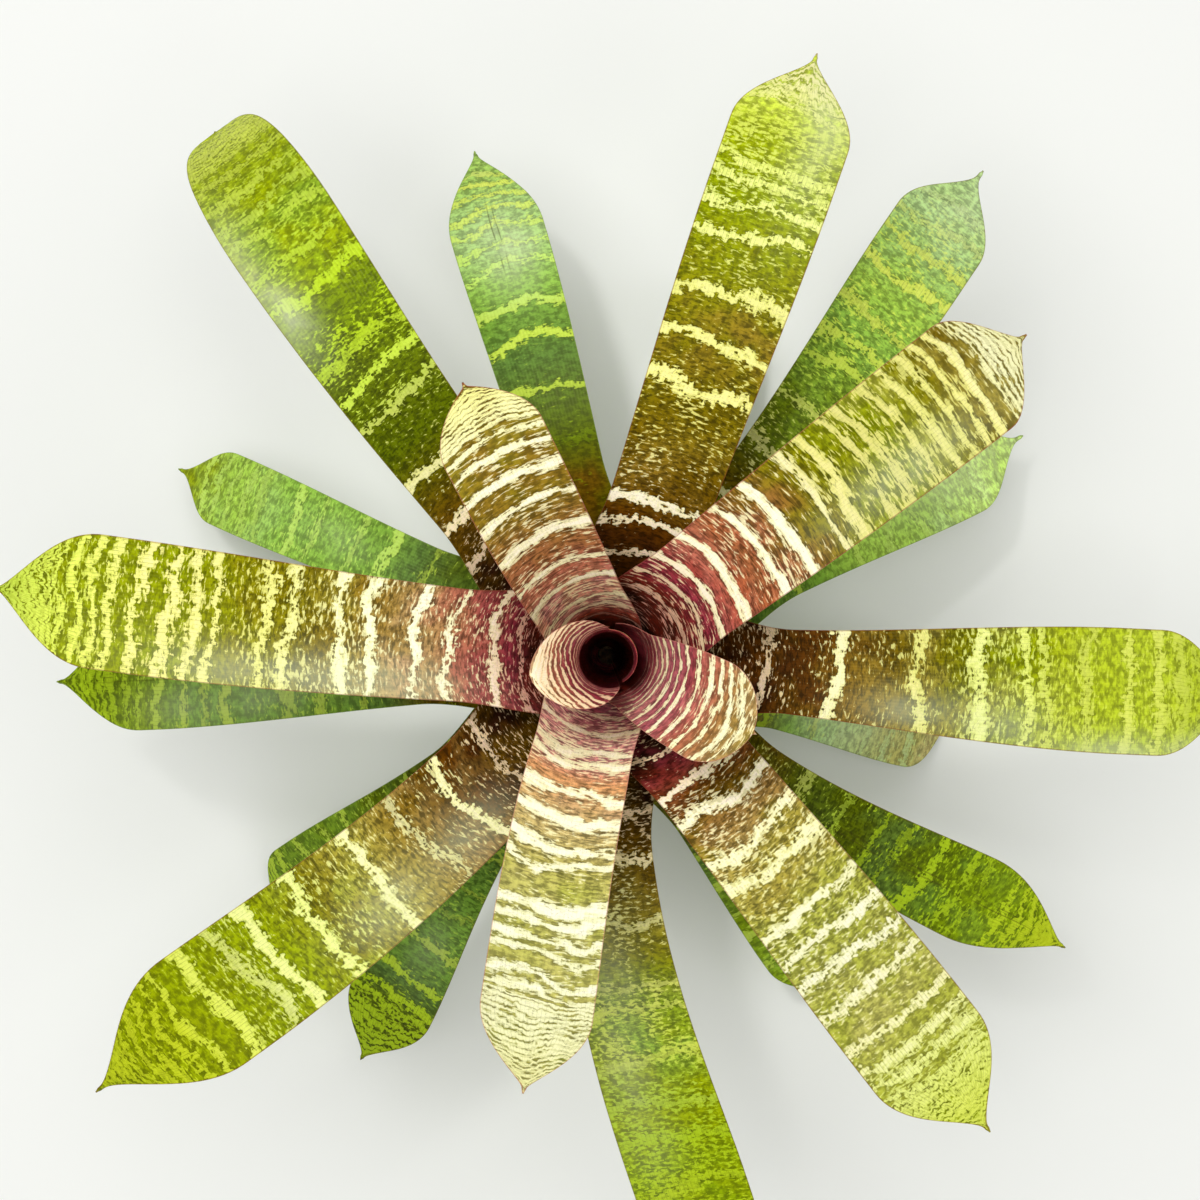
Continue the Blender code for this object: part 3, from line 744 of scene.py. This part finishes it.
def makeBandGroup():
    group, given, result = newGroup(
        "leafBanding",
        (("Wander", 0.012), ("Tear", 0.006), ("Flecks", 0.0), ("Softness", 0.0003),
         ("Vein Cut", 0.5), ("Scrawl", 0.5), ("Streak", 200.0), ("Teeth", 0.004)),
        ("Pale", "Core", "Grain", "Edge", "Scratch", "Veins", "CreaseShade", "Patch"))
    uv = group.nodes.new("ShaderNodeUVMap")
    uv.uv_map = "leafMap"
    split = group.nodes.new("ShaderNodeSeparateXYZ")
    group.links.new(uv.outputs[0], split.inputs[0])
    along, across = split.outputs[0], split.outputs[1]

    def marked(name):
        return speckle(group, across, along, *markings[name])

    def stepped(name, value):
        return ramp(group, value, *steps[name])

    def kept(name):
        return attribute(group, name, "Fac")

    def less(first, second):
        return calc(group, "SUBTRACT", first, second)

    def size(value):
        return calc(group, "ABSOLUTE", value)

    # how far each point lies from the middle of its nearest band, in metres
    gap = kept("bandGap")
    wobble = marked("wobble")
    tear = speckle(group, across, along, markings["tearFineness"], given["Streak"],
                   markings["tearDetail"])
    ragged = times(group, given["Tear"], stepped("tearByGap", gap))
    shift = times(group, wobble, given["Wander"])
    shift = timesPlus(group, tear, ragged, shift)
    shift = timesPlus(group, marked("teeth"), given["Teeth"], shift)
    turn = calc(group, "ADD", kept("bandTurn"), calc(group, "DIVIDE", shift, gap))
    away = times(group, size(less(turn, calc(group, "ROUND", turn))), gap)
    # the bands, uneven in width and broken where the force falls
    wide = timesPlus(group, marked("bandWidth"), markings["widthSwing"], 1.0)
    inside = less(times(group, wide, kept("bandHalf")), away)
    bands = ramp(group, inside, times(group, given["Softness"], -1.0), given["Softness"])
    bands = times(group, bands, kept("bandForce"))
    wire(group, stepped("core", inside), result["Core"])
    wire(group, stepped("rim", inside), result["Edge"])
    # flecks between them, thickest beside the bands
    fine = speckle(group, across, along, markings["fleckFineness"],
                   times(group, given["Streak"], markings["fleckStreak"]),
                   *markings["fleckDetail"])
    amount = calc(group, "ADD", kept("fleckAmount"), given["Flecks"])
    amount = timesPlus(group, marked("crowd"), markings["crowdSwing"], amount)
    amount = calc(group, "ADD", amount, stepped("besideBand", inside))
    flecks = timesPlus(group, amount, *markings["fleckGain"])
    flecks = timesPlus(group, fine, markings["fleckContrast"], flecks)
    blur = times(group, given["Softness"], markings["fleckBlur"])
    flecks = ramp(group, flecks, times(group, blur, -1.0), blur, 0.0, markings["fleckForce"])
    # thin dark scribble through the pale
    scrawl = times(group, stepped("scrawl", size(marked("scrawl"))), given["Scrawl"])
    pale = times(group, calc(group, "MAXIMUM", bands, flecks), less(1.0, scrawl))
    # veins run the whole length and meet at the tip
    veinPlace = kept("veinPlace")
    vein = calc(group, "DIVIDE", veinPlace, markings["veinGap"])
    vein = timesPlus(group, marked("veinBend"), markings["veinSwing"], vein)
    ridge = size(less(calc(group, "FRACT", vein), 0.5))
    cut = times(group, stepped("vein", ridge), stepped("veinBreaks", marked("veinBreaks")))
    cut = times(group, times(group, cut, given["Vein Cut"]), kept("veinCut"))
    wire(group, times(group, pale, less(1.0, cut)), result["Pale"])
    wire(group, times(group, ridge, 2.0), result["Veins"])
    # grain, and dark scratches between the flecks, fading out towards the tip
    grain = timesPlus(group, fine, markings["grainFleck"], marked("grain"))
    wire(group, calc(group, "ADD", grain, 0.5), result["Grain"])
    scratch = times(group, stepped("scratch", fine), less(1.0, kept("veinCut")))
    wire(group, scratch, result["Scratch"])
    # painted shade: two dark creases beside the middle line, broken here and there
    creaseShade = timesPlus(group, wobble, markings["creaseSwing"], less(veinPlace, 0.5))
    creaseShade = stepped("creaseShade", size(less(size(creaseShade), markings["creaseOffset"])))
    creaseShade = times(group, creaseShade, kept("creaseForce"))
    creaseShade = times(group, creaseShade, stepped("creaseBreaks", marked("creaseBreaks")))
    wire(group, creaseShade, result["CreaseShade"])
    wire(group, stepped("patch", marked("patch")), result["Patch"])
    return group


def makeMarginGroup():
    group, given, result = newGroup("leafMargin", (("Width", 0.0006),), ("Margin",))
    gap = attribute(group, "marginGap", "Fac")
    edge = ramp(group, gap, times(group, given["Width"], 0.5), given["Width"], 1.0, 0.0)
    wire(group, edge, result["Margin"])
    return group


bandGroup = makeBandGroup()
marginGroup = makeMarginGroup()


# leaf finishes

finishes = {
    "rosy_leaf": {
        "wander": 0.010, "tear": 0.0060, "teeth": 0.0020,
        "patch": 0.60, "flecks": -0.05, "softness": 0.0003,
        "veinCut": 0.20, "scrawl": 0.35, "streak": 120.0, "margin": (150, 70, 60),
        "marginWidth": 0.0005, "scratch": 0.45, "roughness": 0.36, "bump": 0.30,
    },
    "cream_leaf": {
        "wander": 0.018, "tear": 0.0075, "teeth": 0.0020,
        "patch": 0.70, "flecks": 0.0, "softness": 0.00035,
        "veinCut": 0.15, "scrawl": 0.45, "streak": 130.0, "margin": (190, 120, 104),
        "marginWidth": 0.0004, "scratch": 0.40, "roughness": 0.38, "bump": 0.26,
    },
    "olive_leaf": {
        "wander": 0.016, "tear": 0.0075, "teeth": 0.0060,
        "patch": 0.70, "flecks": 0.0, "softness": 0.0003,
        "veinCut": 0.50, "scrawl": 0.45, "streak": 190.0, "margin": (122, 62, 30),
        "marginWidth": 0.0005, "scratch": 0.42, "roughness": 0.33, "bump": 0.34,
    },
    "lime_leaf": {
        "wander": 0.016, "tear": 0.0080, "teeth": 0.0060,
        "patch": 0.60, "flecks": 0.0, "softness": 0.0004,
        "veinCut": 0.50, "scrawl": 0.35, "streak": 230.0, "margin": (112, 92, 26),
        "marginWidth": 0.0005, "scratch": 0.30, "roughness": 0.35, "bump": 0.32,
    },
    "green_leaf": {
        "wander": 0.018, "tear": 0.0085, "teeth": 0.0040,
        "patch": 0.45, "flecks": -0.10, "softness": 0.0006,
        "veinCut": 0.35, "scrawl": 0.15, "streak": 200.0, "margin": (120, 140, 60),
        "marginWidth": 0.0004, "scratch": 0.00, "roughness": 0.40, "bump": 0.26,
    },
}


# what the leaf finishes share: the back's tones, a band's rim and middle, the painted sheen, the painted
# shade of creases, gloss
coat = {
    "backGreen": (112, 132, 72),
    "backPale": (176, 186, 150),
    "backGroundShare": 0.55,
    "backLightShare": 0.65,
    "backSoftening": 2.5,
    "bandRim": (0.94, 0.96, 0.76, 1.0),
    "bandMiddle": (1.05, 1.04, 1.10, 1.0),
    # painted sheen: the pale tone of the patches where the lamps' reflection is painted, and how much of
    # it lies over the clouded patches
    "scurf": (206, 214, 176),
    # painted shade of the creases: its dark tone and how far it darkens
    "creaseShade": (60, 50, 10),
    "creaseDepth": 0.55,
    "veinDepth": 0.10,
    "marginForce": 0.55,
    "edgeDarkening": 0.30,
    "grainTone": (0.30, 0.70, 0.60, 1.30),
    "sheenPaintOverPatches": (0.0, 1.0, 1.2, 0.8),
    "veinLine": (0.72, 1.0),
    "sheenStep": (0.3, 0.7),
    "sheenSpread": (-0.05, 0.09),
    "veinRelief": 0.7,
    "grainRelief": 0.8,
    "paleRelief": 0.35,
    "reliefHeight": 0.0004,
    "gloss": 0.10,
    "glossTint": (1.0, 1.0, 0.4, 1.0),
}


def shade(levels):
    return tuple(linear(level) for level in levels) + (1.0,)


def newMaterial(name):
    material = bpy.data.materials.new(name)
    material.use_nodes = True
    tree = material.node_tree
    return material, tree, tree.nodes["Principled BSDF"]


def addRelief(tree, shader, height, strength, distance):
    bump = tree.nodes.new("ShaderNodeBump")
    bump.inputs["Strength"].default_value = strength
    bump.inputs["Distance"].default_value = distance
    wire(tree, height, bump.inputs["Height"])
    wire(tree, bump.outputs["Normal"], shader.inputs["Normal"])


def leafMaterial(name, finish, under):
    material, tree, shader = newMaterial(name)
    banding = useGroup(tree, bandGroup, {
        "Wander": finish["wander"], "Tear": finish["tear"], "Flecks": finish["flecks"],
        "Softness": finish["softness"] * (coat["backSoftening"] if under else 1.0),
        "Vein Cut": finish["veinCut"], "Scrawl": finish["scrawl"],
        "Streak": finish["streak"], "Teeth": finish["teeth"]})
    margin = useGroup(tree, marginGroup, {"Width": finish["marginWidth"]})["Margin"]
    # the ground and the light of the bands, duller on the back
    ground = mixTones(tree, times(tree, banding["Patch"], finish["patch"]),
                      attribute(tree, "darkTone", "Color"),
                      attribute(tree, "patchTone", "Color"))
    light = attribute(tree, "paleTone", "Color")
    if under:
        ground = mixTones(tree, coat["backGroundShare"], ground, shade(coat["backGreen"]))
        light = mixTones(tree, coat["backLightShare"], light, shade(coat["backPale"]))
    glow = mixTones(tree, banding["Core"], coat["bandRim"], coat["bandMiddle"])
    light = mixTones(tree, 1.0, light, glow, "MULTIPLY")
    # the ground is darker at a band's edge and in scratches
    grain = ramp(tree, banding["Grain"], *coat["grainTone"])
    for mark, depth in (("Edge", coat["edgeDarkening"]), ("Scratch", finish["scratch"])):
        grain = times(tree, grain, timesPlus(tree, banding[mark], -depth, 1.0))
    ground = mixTones(tree, 1.0, ground, grain, "MULTIPLY")
    body = mixTones(tree, banding["Pale"], ground, light)
    # the painted sheen patches, the veins, the painted shade of the creases and the coloured margin lie
    # over both
    scurf = times(tree, attribute(tree, "paintedSheenAmount", "Fac"),
                  ramp(tree, banding["Patch"], *coat["sheenPaintOverPatches"]))
    body = mixTones(tree, scurf, body, shade(coat["scurf"]))
    veil = times(tree, ramp(tree, banding["Veins"], *coat["veinLine"]), coat["veinDepth"])
    veil = timesPlus(tree, banding["CreaseShade"], coat["creaseDepth"], veil)
    body = mixTones(tree, veil, body, shade(coat["creaseShade"]))
    body = mixTones(tree, times(tree, margin, coat["marginForce"]), body,
                    shade(finish["margin"]))
    wire(tree, body, shader.inputs["Base Color"])
    smoothest, roughest = (finish["roughness"] + spread for spread in coat["sheenSpread"])
    wire(tree, ramp(tree, banding["Grain"], *coat["sheenStep"], smoothest, roughest),
         shader.inputs["Roughness"])
    height = timesPlus(tree, banding["Veins"], coat["veinRelief"],
                       times(tree, banding["Grain"], coat["grainRelief"]))
    height = timesPlus(tree, banding["Pale"], coat["paleRelief"], height)
    addRelief(tree, shader, height, finish["bump"], coat["reliefHeight"])
    shader.inputs["Specular IOR Level"].default_value = coat["gloss"]
    shader.inputs["Specular Tint"].default_value = coat["glossTint"]
    return material


leafMaterials = {}
for slotName, finish in finishes.items():
    word = slotName.split("_")[0]
    leafMaterials[slotName] = (
        leafMaterial(word + "LeafFace", finish, False),
        leafMaterial(word + "LeafBack", finish, True))
print("leaf materials made:", 2 * len(leafMaterials))


# the leaves' meshes

slotOf = {entry["node"]: entry["material_slot"]
          for entry in frame["record"]["subparts"]}


def emptyHands():
    if bpy.context.object and bpy.context.object.mode != "OBJECT":
        bpy.ops.object.mode_set(mode="OBJECT")
    bpy.ops.object.select_all(action="DESELECT")


def pieceName(node):
    words = node.split("_")
    return words[0] + "".join(word.capitalize() for word in words[1:])


def bandMarks(leaf, total):
    # (length, half-width, force) of each band's middle, with one more far out at each end
    marks = [(place * total, wide / 2000, force[0] / 100 if force else 1.0)
             for place, wide, *force in leaf["bands"]]
    if "closeBands" in leaf:
        start, spacing = leaf["closeBands"]
        length = start * total
        while length < total:
            marks.append((length, spacing / 1000 * growth["closeBandHalf"], marks[-1][2]))
            length += spacing / 1000
    first, last = marks[0], marks[-1]
    return [(first[0] - growth["bandReach"], first[1], 0.0)] + marks + [
        (last[0] + growth["bandReach"], last[1], 0.0)]


def bandPlace(marks, length):
    # the turn counts whole bands, so it is nearest to a whole number in a band's middle
    index = 0
    while index < len(marks) - 2 and marks[index + 1][0] < length:
        index += 1
    before, after = marks[index], marks[index + 1]
    gap = after[0] - before[0]
    blend = (length - before[0]) / gap
    near = min(max(2.0 * blend - 0.5, 0.0), 1.0)
    half = before[1] + (after[1] - before[1]) * near
    force = before[2] + (after[2] - before[2]) * near
    return index + blend, gap, half, force


def amountAlong(stops, share):
    first, second, blend = stopsAround(stops, share)
    return first + (second - first) * blend


def paintedSheenAt(leaf, share, across):
    # painted sheen: soft pale round patches standing in for the lamps' reflection, given as (share, side,
    # length, breadth, amount)
    amount = 0.0
    for place, side, length, breadth, strength in leaf.get("bloom", ()):
        away = ((share - place) / length) ** 2 + ((across - side) / breadth) ** 2
        amount += strength * math.exp(-away)
    return amount


def leafSections(rank, leaf):
    # what a leaf is like at each of its cross sections, base first, and its length
    points, lengths, waistLength = middleLine(rank, leaf)
    total = lengths[-1]
    sections = []
    for length in stationLengths(leaf, total, waistLength):
        place, rise = pointAlong(points, lengths, length)
        radius = place.x
        share = length / total
        behind = leaf["sweep"] * (1.0 - smooth(radius, 0.0, leaf["reach"]))
        sections.append({
            "length": length, "share": share, "radius": radius, "height": place.y,
            "rise": rise, "turn": math.radians(leaf["azimuth"] - behind),
            "wide": halfWidth(leaf, length, total, waistLength, radius),
            "tipCurve": growth["tipCurve"] * smooth(share, *growth["tipCurveStart"]),
            "veinCut": smooth(share, *growth["veinCutStart"]),
            "fleckAmount": amountAlong(leaf["flecks"], share),
            "creaseForce": amountAlong(leaf["creases"], share),
            "darkTone": toneAlong(leaf["dark"], share),
            "patchTone": toneAlong(leaf["patch"], share),
            "paleTone": toneAlong(leaf["pale"], share),
        })
    return sections, total


def leafPoint(rank, part, across):
    # a section's point: wrapped round the stem at first, further out in an open channel,
    # with long waves all over the blade and short ripples at its margins
    g = growth
    radius, rise, turn = part["radius"], part["rise"], part["turn"]
    offset = part["wide"] * across
    outward = Vector((math.cos(turn), math.sin(turn), 0.0))
    sideways = Vector((-math.sin(turn), math.cos(turn), 0.0))
    upper = outward * -math.sin(rise) + Vector((0.0, 0.0, math.cos(rise)))
    roundAngle = turn + offset / radius
    wrapped = Vector((math.cos(roundAngle) * radius, math.sin(roundAngle) * radius,
                      part["height"]))
    channel = max(radius, g["leastRadius"]) / max(math.sin(rise), g["leastSlope"])
    channel = min(channel, g["channelRadius"])
    lean = offset / channel
    opened = outward * radius + Vector((0.0, 0.0, part["height"]))
    opened += sideways * channel * math.sin(lean)
    opened += upper * channel * (1.0 - math.cos(lean))
    spot = wrapped.lerp(opened, smooth(radius, g["wrapEndRadius"], g["channelStartRadius"]))
    seed = g["seedStep"] * rank
    (waveLong, waveWide), (rippleLong, rippleWide) = g["waveFineness"], g["rippleFineness"]
    wave = noise.noise(Vector((part["length"] * waveLong + seed, across * waveWide, seed)))
    ripple = noise.noise(Vector((part["length"] * rippleLong,
                                 across * rippleWide + seed, seed)))
    free = smooth(radius, g["waveStart"], g["waveFull"])
    spot += upper * free * (g["waveHeight"] * wave * (g["flatMiddle"] + across * across)
                            + g["rippleHeight"] * ripple * across * across)
    return spot


def makeLeaf(rank, node, leaf):
    g = growth
    sections, total = leafSections(rank, leaf)
    bands = bandMarks(leaf, total)
    rows = len(sections) - 1
    emptyHands()
    bpy.ops.mesh.primitive_grid_add(x_subdivisions=rows, y_subdivisions=g["columns"],
                                    size=2, calc_uvs=True)
    piece = bpy.context.object
    piece.name = pieceName(node)
    mesh = piece.data
    mesh.name = piece.name
    mesh.uv_layers[0].name = "leafMap"
    numbers, colours, mapPlaces, thickness = {}, {}, [], []
    for vertex in mesh.vertices:
        part = sections[round((vertex.co.x + 1) / 2 * rows)]
        across = g["evenShare"] * vertex.co.y
        across += (1 - g["evenShare"]) * math.sin(vertex.co.y * math.pi / 2)
        spot = leafPoint(rank, part, across)
        vertex.co = spot
        # how far the channel carries this point past its section's middle, along the leaf
        bulge = math.hypot(spot.x, spot.y) - part["radius"]
        bulge /= max(math.cos(part["rise"]), g["leastLevel"])
        bulge *= faded(part["radius"], *g["bulgeFade"])
        length = part["length"] + bulge
        mapPlaces.append((length + g["mapShift"][0] * rank,
                          part["wide"] * across + g["mapShift"][1] * rank))
        turn, gap, half, force = bandPlace(bands, length + part["tipCurve"] * across ** 2)
        for name, made in (("bandTurn", turn), ("bandGap", gap), ("bandHalf", half),
                           ("bandForce", force),
                           ("veinPlace", across * leaf["width"] / 2 + 0.5),
                           ("marginGap", part["wide"] * (1.0 - abs(across))),
                           ("paintedSheenAmount", paintedSheenAt(leaf, part["share"], across)),
                           ("fleckAmount", part["fleckAmount"]),
                           ("creaseForce", part["creaseForce"]),
                           ("veinCut", part["veinCut"])):
            numbers.setdefault(name, []).append(made)
        for name in ("darkTone", "patchTone", "paleTone"):
            colours.setdefault(name, []).extend(part[name])
        thin = max((1.0 - across * across) ** g["marginThinning"], g["thinnestShare"])
        thickness.append(thin * faded(part["share"], *g["tipThinning"]))
    for name, made in numbers.items():
        mesh.attributes.new(name, "FLOAT", "POINT").data.foreach_set("value", made)
    for name, made in colours.items():
        mesh.attributes.new(name, "FLOAT_COLOR", "POINT").data.foreach_set("color", made)
    layer = mesh.uv_layers["leafMap"].data
    for loop in mesh.loops:
        layer[loop.index].uv = mapPlaces[loop.vertex_index]
    body = piece.vertex_groups.new(name="body")
    for index, weight in enumerate(thickness):
        body.add([index], weight, "REPLACE")
    for material in leafMaterials[slotOf[node]]:
        mesh.materials.append(material)
    wall = piece.modifiers.new("wall", "SOLIDIFY")
    wall.thickness = g["bladeThickness"]
    wall.offset = 0.0
    wall.vertex_group = "body"
    wall.thickness_vertex_group = 0.0
    wall.material_offset = 1
    wall.material_offset_rim = 0
    bpy.ops.object.modifier_apply(modifier="wall")
    bpy.ops.object.shade_smooth_by_angle(angle=math.radians(g["smoothAngle"]))
    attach(piece, "root")
    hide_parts(node)
    return piece


worstGap = 0.0
for rank, (node, leaf) in enumerate(leaves.items()):
    low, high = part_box(node)
    spots = [vertex.co for vertex in makeLeaf(rank, node, leaf).data.vertices]
    for axis in range(3):
        worstGap = max(worstGap, abs(min(spot[axis] for spot in spots) - low[axis]),
                       abs(max(spot[axis] for spot in spots) - high[axis]))
print("leaves made:", len(leaves), "furthest from the frame, mm:",
      round(worstGap * 1000, 2))


# the cut stem: a fibrous stump ringed by old leaf scars

stump = {
    "node": "stem",
    "sides": 360,
    "cuts": 100,
    "evenRings": 0.25,
    "foot": ((0.0, 0.0158), (0.0008, 0.0165), (0.012, 0.0215)),
    "leafGap": 0.0012,
    "coneRadius": 0.0030,
    "topRadius": 0.0004,
    "smoothHeight": 0.0004,
    "scarHeights": (0.0052, 0.0088, 0.0128),
    "scarHalf": 0.0006,
    "scarDepth": 0.0007,
    "fibreDepth": 0.0006,
    "reliefShare": 0.4,
    "bark": (104, 74, 44),
    "barkDark": (58, 38, 22),
    "barkPale": (168, 138, 96),
    "roughness": 0.82,
    "roughnessStep": (0.3, 0.7),
    "roughnessSpread": (-0.1, 0.08),
    "fibreNoise": (900.0, 0.10, 5.0),
    "fibreStep": (0.38, 0.62),
    "cloudNoise": (120.0, 0.8, 3.0),
    "cloudStep": (0.50, 0.68),
    "relief": (0.8, 0.0008),
    "fibreWaves": ((1.0, 9.0, 60), (0.5, 24.0, 110)),
    "smoothAngle": 60,
}


def barkMaterial():
    material, tree, shader = newMaterial("stumpBark")
    spot = tree.nodes.new("ShaderNodeTexCoord").outputs["Object"]

    def strands(scale, stretch, detail):
        place = tree.nodes.new("ShaderNodeMapping")
        place.inputs["Scale"].default_value = (scale, scale, scale * stretch)
        tree.links.new(spot, place.inputs["Vector"])
        node = tree.nodes.new("ShaderNodeTexNoise")
        node.inputs["Scale"].default_value = 1.0
        node.inputs["Detail"].default_value = detail
        tree.links.new(place.outputs[0], node.inputs["Vector"])
        return node.outputs["Fac"]

    fibre = strands(*stump["fibreNoise"])
    cloud = strands(*stump["cloudNoise"])
    body = mixTones(tree, ramp(tree, fibre, *stump["fibreStep"]), shade(stump["barkDark"]),
                    shade(stump["bark"]))
    body = mixTones(tree, ramp(tree, cloud, *stump["cloudStep"]), body,
                    shade(stump["barkPale"]))
    wire(tree, body, shader.inputs["Base Color"])
    smoothest, roughest = (stump["roughness"] + spread for spread in stump["roughnessSpread"])
    wire(tree, ramp(tree, fibre, *stump["roughnessStep"], smoothest, roughest),
         shader.inputs["Roughness"])
    addRelief(tree, shader, calc(tree, "ADD", fibre, cloud), *stump["relief"])
    return material


def makeStump():
    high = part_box(stump["node"])[1]
    lastRank = len(leaves) - 1
    shoulder = growth["firstBaseRadius"] + growth["baseRadiusStep"] * lastRank
    shoulderHeight = growth["firstBaseHeight"] - growth["baseHeightStep"] * lastRank
    outline = stump["foot"] + ((shoulderHeight, shoulder - stump["leafGap"]),
                               (growth["firstBaseHeight"], stump["coneRadius"]),
                               (high.z, stump["topRadius"]))
    emptyHands()
    bpy.ops.mesh.primitive_cylinder_add(vertices=stump["sides"], radius=1.0, depth=1.0,
                                        location=(0, 0, 0.5), end_fill_type="TRIFAN")
    piece = bpy.context.object
    piece.name = "cutStem"
    bpy.ops.object.transform_apply(location=True, rotation=True, scale=True)
    bpy.ops.object.mode_set(mode="EDIT")
    bpy.ops.mesh.select_mode(type="EDGE")
    bpy.ops.mesh.select_all(action="DESELECT")
    bpy.ops.object.mode_set(mode="OBJECT")
    mesh = piece.data
    for edge in mesh.edges:
        a, b = (mesh.vertices[index].co for index in edge.vertices)
        edge.select = abs(a.z - b.z) > 0.5
    bpy.ops.object.mode_set(mode="EDIT")
    bpy.ops.mesh.subdivide(number_cuts=stump["cuts"])
    bpy.ops.object.mode_set(mode="OBJECT")
    for vertex in mesh.vertices:
        along = vertex.co.z
        height = high.z * along * (stump["evenRings"] + (1 - stump["evenRings"]) * along)
        flat = math.hypot(vertex.co.x, vertex.co.y)
        radius = amountAlong(outline, height)
        angle = math.atan2(vertex.co.y, vertex.co.x)
        around = Vector((math.cos(angle), math.sin(angle), 0.0))
        fibre = sum(force * noise.noise(around * roundScale + Vector((0, 0, height * upScale)))
                    for force, roundScale, upScale in stump["fibreWaves"])
        scar = max(math.exp(-((height - place) / stump["scarHalf"]) ** 2)
                   for place in stump["scarHeights"])
        if height > stump["smoothHeight"] and flat > 0.5:
            relief = stump["fibreDepth"] * (0.5 + 0.5 * fibre) + stump["scarDepth"] * scar
            radius -= min(relief, stump["reliefShare"] * radius)
        if flat < 0.5:
            radius = 0.0
        vertex.co = around * radius + Vector((0, 0, height))
    mesh.materials.append(barkMaterial())
    bpy.ops.object.shade_smooth_by_angle(angle=math.radians(stump["smoothAngle"]))
    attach(piece, "root")
    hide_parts(stump["node"])


makeStump()
print("stem made")


# floor, backdrop, lights and camera

studio = {
    "floorTone": (244, 245, 241),
    "floorSize": 12.0,
    "floorRoughness": 0.9,
    "floorGloss": 0.1,
    "floorFade": (0.36, 0.95),
    "worldStrength": 0.49,
    "keyPower": 25.5,
    "keySize": 1.8,
    "keyPlace": (-0.40, 0.45, 1.95),
    "fillPower": 7.5,
    "fillSize": 1.6,
    "fillPlace": (1.1, -0.8, 1.6),
    "beamPower": 44.0,
    "beamAngle": 17.0,
    "beamSize": 0.10,
    "beamPlace": (-0.42, 0.50, 1.50),
    "aim": (0.0, 0.0, 0.15),
    "cameraPlace": (-0.0036, 0.0261, 1.425),
    "lens": 85.0,
    "sensorWidth": 36.0,
}


def seenDirectly(tree):
    path = tree.nodes.new("ShaderNodeLightPath")
    seen = calc(tree, "MAXIMUM", path.outputs["Is Camera Ray"],
                path.outputs["Is Glossy Ray"])
    return calc(tree, "MAXIMUM", seen, path.outputs["Is Transmission Ray"])


def mixShaders(tree, share, first, second, target):
    mix = tree.nodes.new("ShaderNodeMixShader")
    wire(tree, share, mix.inputs[0])
    tree.links.new(first.outputs[0], mix.inputs[1])
    tree.links.new(second.outputs[0], mix.inputs[2])
    tree.links.new(mix.outputs[0], target.inputs["Surface"])


def makeFloor():
    emptyHands()
    bpy.ops.mesh.primitive_plane_add(size=studio["floorSize"], location=(0, 0, 0))
    floor = bpy.context.object
    floor.name = "floor"
    material, tree, shader = newMaterial("paleFloor")
    shader.inputs["Base Color"].default_value = shade(studio["floorTone"])
    shader.inputs["Roughness"].default_value = studio["floorRoughness"]
    shader.inputs["Specular IOR Level"].default_value = studio["floorGloss"]
    # it fades into the backdrop with the distance from the plant
    place = tree.nodes.new("ShaderNodeTexCoord")
    reach = tree.nodes.new("ShaderNodeVectorMath")
    reach.operation = "LENGTH"
    tree.links.new(place.outputs["Object"], reach.inputs[0])
    fade = ramp(tree, reach.outputs["Value"], *studio["floorFade"])
    backdrop = tree.nodes.new("ShaderNodeEmission")
    backdrop.inputs["Color"].default_value = shade(studio["floorTone"])
    mixShaders(tree, times(tree, fade, seenDirectly(tree)), shader, backdrop,
               tree.nodes["Material Output"])
    floor.data.materials.append(material)


def makeWorld():
    world = bpy.data.worlds.new("studioWorld")
    bpy.context.scene.world = world
    world.use_nodes = True
    tree = world.node_tree
    tree.nodes.clear()
    output = tree.nodes.new("ShaderNodeOutputWorld")
    soft, backdrop = (tree.nodes.new("ShaderNodeBackground") for _ in range(2))
    soft.inputs["Color"].default_value = (1.0, 1.0, 1.0, 1.0)
    soft.inputs["Strength"].default_value = studio["worldStrength"]
    backdrop.inputs["Color"].default_value = shade(studio["floorTone"])
    backdrop.inputs["Strength"].default_value = 1.0
    mixShaders(tree, seenDirectly(tree), soft, backdrop, output)


def makeLamp(light, place, target):
    lamp = bpy.data.objects.new(light.name, light)
    bpy.context.scene.collection.objects.link(lamp)
    lamp.location = place
    aim = Vector(target) - Vector(place)
    lamp.rotation_euler = aim.to_track_quat("-Z", "Y").to_euler()


def makeLight(name, power, size, place):
    light = bpy.data.lights.new(name, "AREA")
    light.energy = power
    light.shape = "SQUARE"
    light.size = size
    makeLamp(light, place, studio["aim"])


makeFloor()
makeWorld()
makeLight("keyLight", studio["keyPower"], studio["keySize"], studio["keyPlace"])
makeLight("fillLight", studio["fillPower"], studio["fillSize"], studio["fillPlace"])

# a soft beam down into the heart
beam = bpy.data.lights.new("heartBeam", "SPOT")
beam.energy = studio["beamPower"]
beam.spot_size = math.radians(studio["beamAngle"])
beam.spot_blend = 1.0
beam.shadow_soft_size = studio["beamSize"]
makeLamp(beam, studio["beamPlace"], (0.0, 0.0, 0.0))

cameraData = bpy.data.cameras.new("studioCamera")
cameraData.lens = studio["lens"]
cameraData.sensor_width = studio["sensorWidth"]
camera = bpy.data.objects.new("studioCamera", cameraData)
camera.location = studio["cameraPlace"]
bpy.context.scene.collection.objects.link(camera)
bpy.context.scene.camera = camera
bpy.context.scene.view_settings.view_transform = "Standard"
print("studio made")
